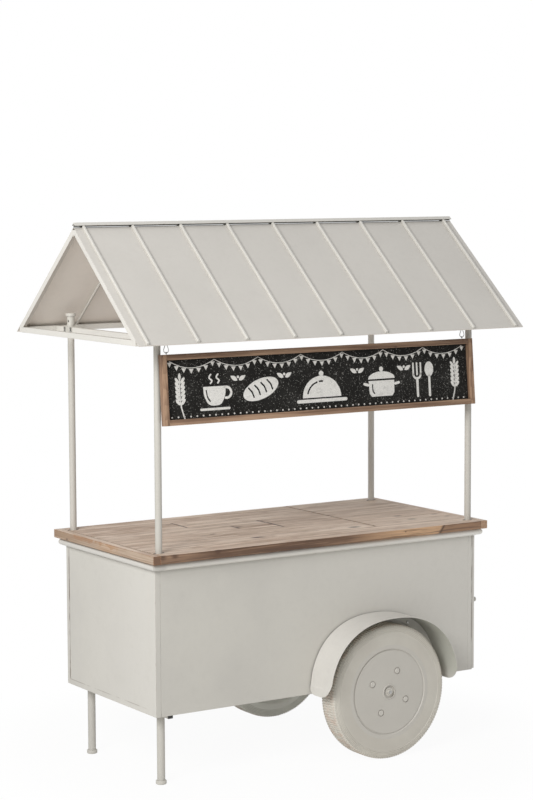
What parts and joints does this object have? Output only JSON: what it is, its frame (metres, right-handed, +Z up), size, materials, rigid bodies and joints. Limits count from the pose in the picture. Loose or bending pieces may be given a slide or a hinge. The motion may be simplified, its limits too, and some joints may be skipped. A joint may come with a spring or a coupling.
{
  "type": "buffet kiosk",
  "caption": "Push-cart buffet kiosk: sheet-metal cabinet on wheels and legs, plank counter, tube posts, ribbed gable roof, end door and a framed board hung under the front eave.",
  "frame": {"origin": "on the ground, under the middle of the overall box", "axes": "+X along the counter towards the wheels, +Y from the customer side to the back, +Z up"},
  "size_m": [1.672, 0.942, 2],
  "materials": {
    "cream_paint": "satin cream paint",
    "roof_paint": "satin off-white paint",
    "painted_wood": "satin off-white paint",
    "wheel_paint": "satin cream paint",
    "tyre_paint": "rubber painted cream",
    "counter_wood": "oiled pine staves",
    "sign_wood": "stained and varnished",
    "black_board": "matt black paint",
    "bright_steel": "zinc plated",
    "dark_screw": "blackened",
    "black_plastic": "moulded",
    "bronze": "plain bearing"
  },
  "bodies": {
    "kiosk": {"corner_posts": "cream_paint", "bottom_rails": "cream_paint", "top_rails": "cream_paint", "front_panel": "cream_paint", "rear_panel": "cream_paint", "left_panel": "cream_paint", "floor_panel": "cream_paint", "edge_moulding": "painted_wood", "tabletop_front_board": "counter_wood", "tabletop_left_boards": "counter_wood", "tabletop_right_boards": "counter_wood", "end_battens": "counter_wood", "table_screws": "dark_screw", "post_sockets": "bright_steel", "front_left_post": "cream_paint", "front_right_post": "cream_paint", "rear_left_post": "cream_paint", "rear_right_post": "cream_paint", "post_saddles": "cream_paint", "thumb_screws": "cream_paint", "frame_bolts": "bright_steel", "legs": "cream_paint", "leg_cross_tube": "cream_paint", "tube_end_plugs": "black_plastic", "foot_caps": "cream_paint", "axle": "bright_steel", "axle_clamps": "bright_steel", "axle_nuts": "bright_steel", "front_fender": "cream_paint", "rear_fender": "cream_paint", "front_roof_sheet": "roof_paint", "rear_roof_sheet": "roof_paint", "roof_ribs": "roof_paint", "ridge_cap": "roof_paint", "roof_rails": "cream_paint", "roof_ties": "cream_paint", "rafters": "cream_paint", "sign_rail": "cream_paint", "frame_hinge_leaves": "cream_paint", "hinge_pins": "bright_steel", "door_catch": "black_plastic"},
    "front_wheel": {"front_tyre": "tyre_paint", "front_rim": "wheel_paint", "front_hub": "wheel_paint", "front_bush": "bronze", "front_lug_bolts": "wheel_paint", "front_hub_ring": "wheel_paint"},
    "rear_wheel": {"rear_tyre": "tyre_paint", "rear_rim": "wheel_paint", "rear_hub": "wheel_paint", "rear_bush": "bronze", "rear_lug_bolts": "wheel_paint", "rear_hub_ring": "wheel_paint"},
    "door": {"door_panel": "cream_paint", "door_knob": "bright_steel", "door_hinge_leaves": "cream_paint"},
    "hooks": {"sign_hooks": "bright_steel"},
    "sign": {"sign_frame": "sign_wood", "sign_board": "black_board", "sign_eyes": "bright_steel"}
  },
  "joints": [
    {"name": "front_wheel_turn", "type": "hinge", "parent": "kiosk", "child": "front_wheel", "pos_m": [0.234, -0.39, 0.2525], "axis": [0, 1, 0], "continuous": true},
    {"name": "rear_wheel_turn", "type": "hinge", "parent": "kiosk", "child": "rear_wheel", "pos_m": [0.234, 0.39, 0.2525], "axis": [0, 1, 0], "continuous": true},
    {"name": "door_swing", "type": "hinge", "parent": "kiosk", "child": "door", "pos_m": [0.6985, 0.337, 0.53], "axis": [0, 0, 1], "range_deg": [0, 110]},
    {"name": "hooks_swing", "type": "hinge", "parent": "kiosk", "child": "hooks", "pos_m": [-0.01, -0.3537, 1.597], "axis": [-1, 0, 0], "range_deg": [-1.5, 30]},
    {"name": "sign_swing", "type": "hinge", "parent": "hooks", "child": "sign", "pos_m": [-0.01, -0.3537, 1.552], "axis": [-1, 0, 0], "range_deg": [-4, 25]}
  ]
}
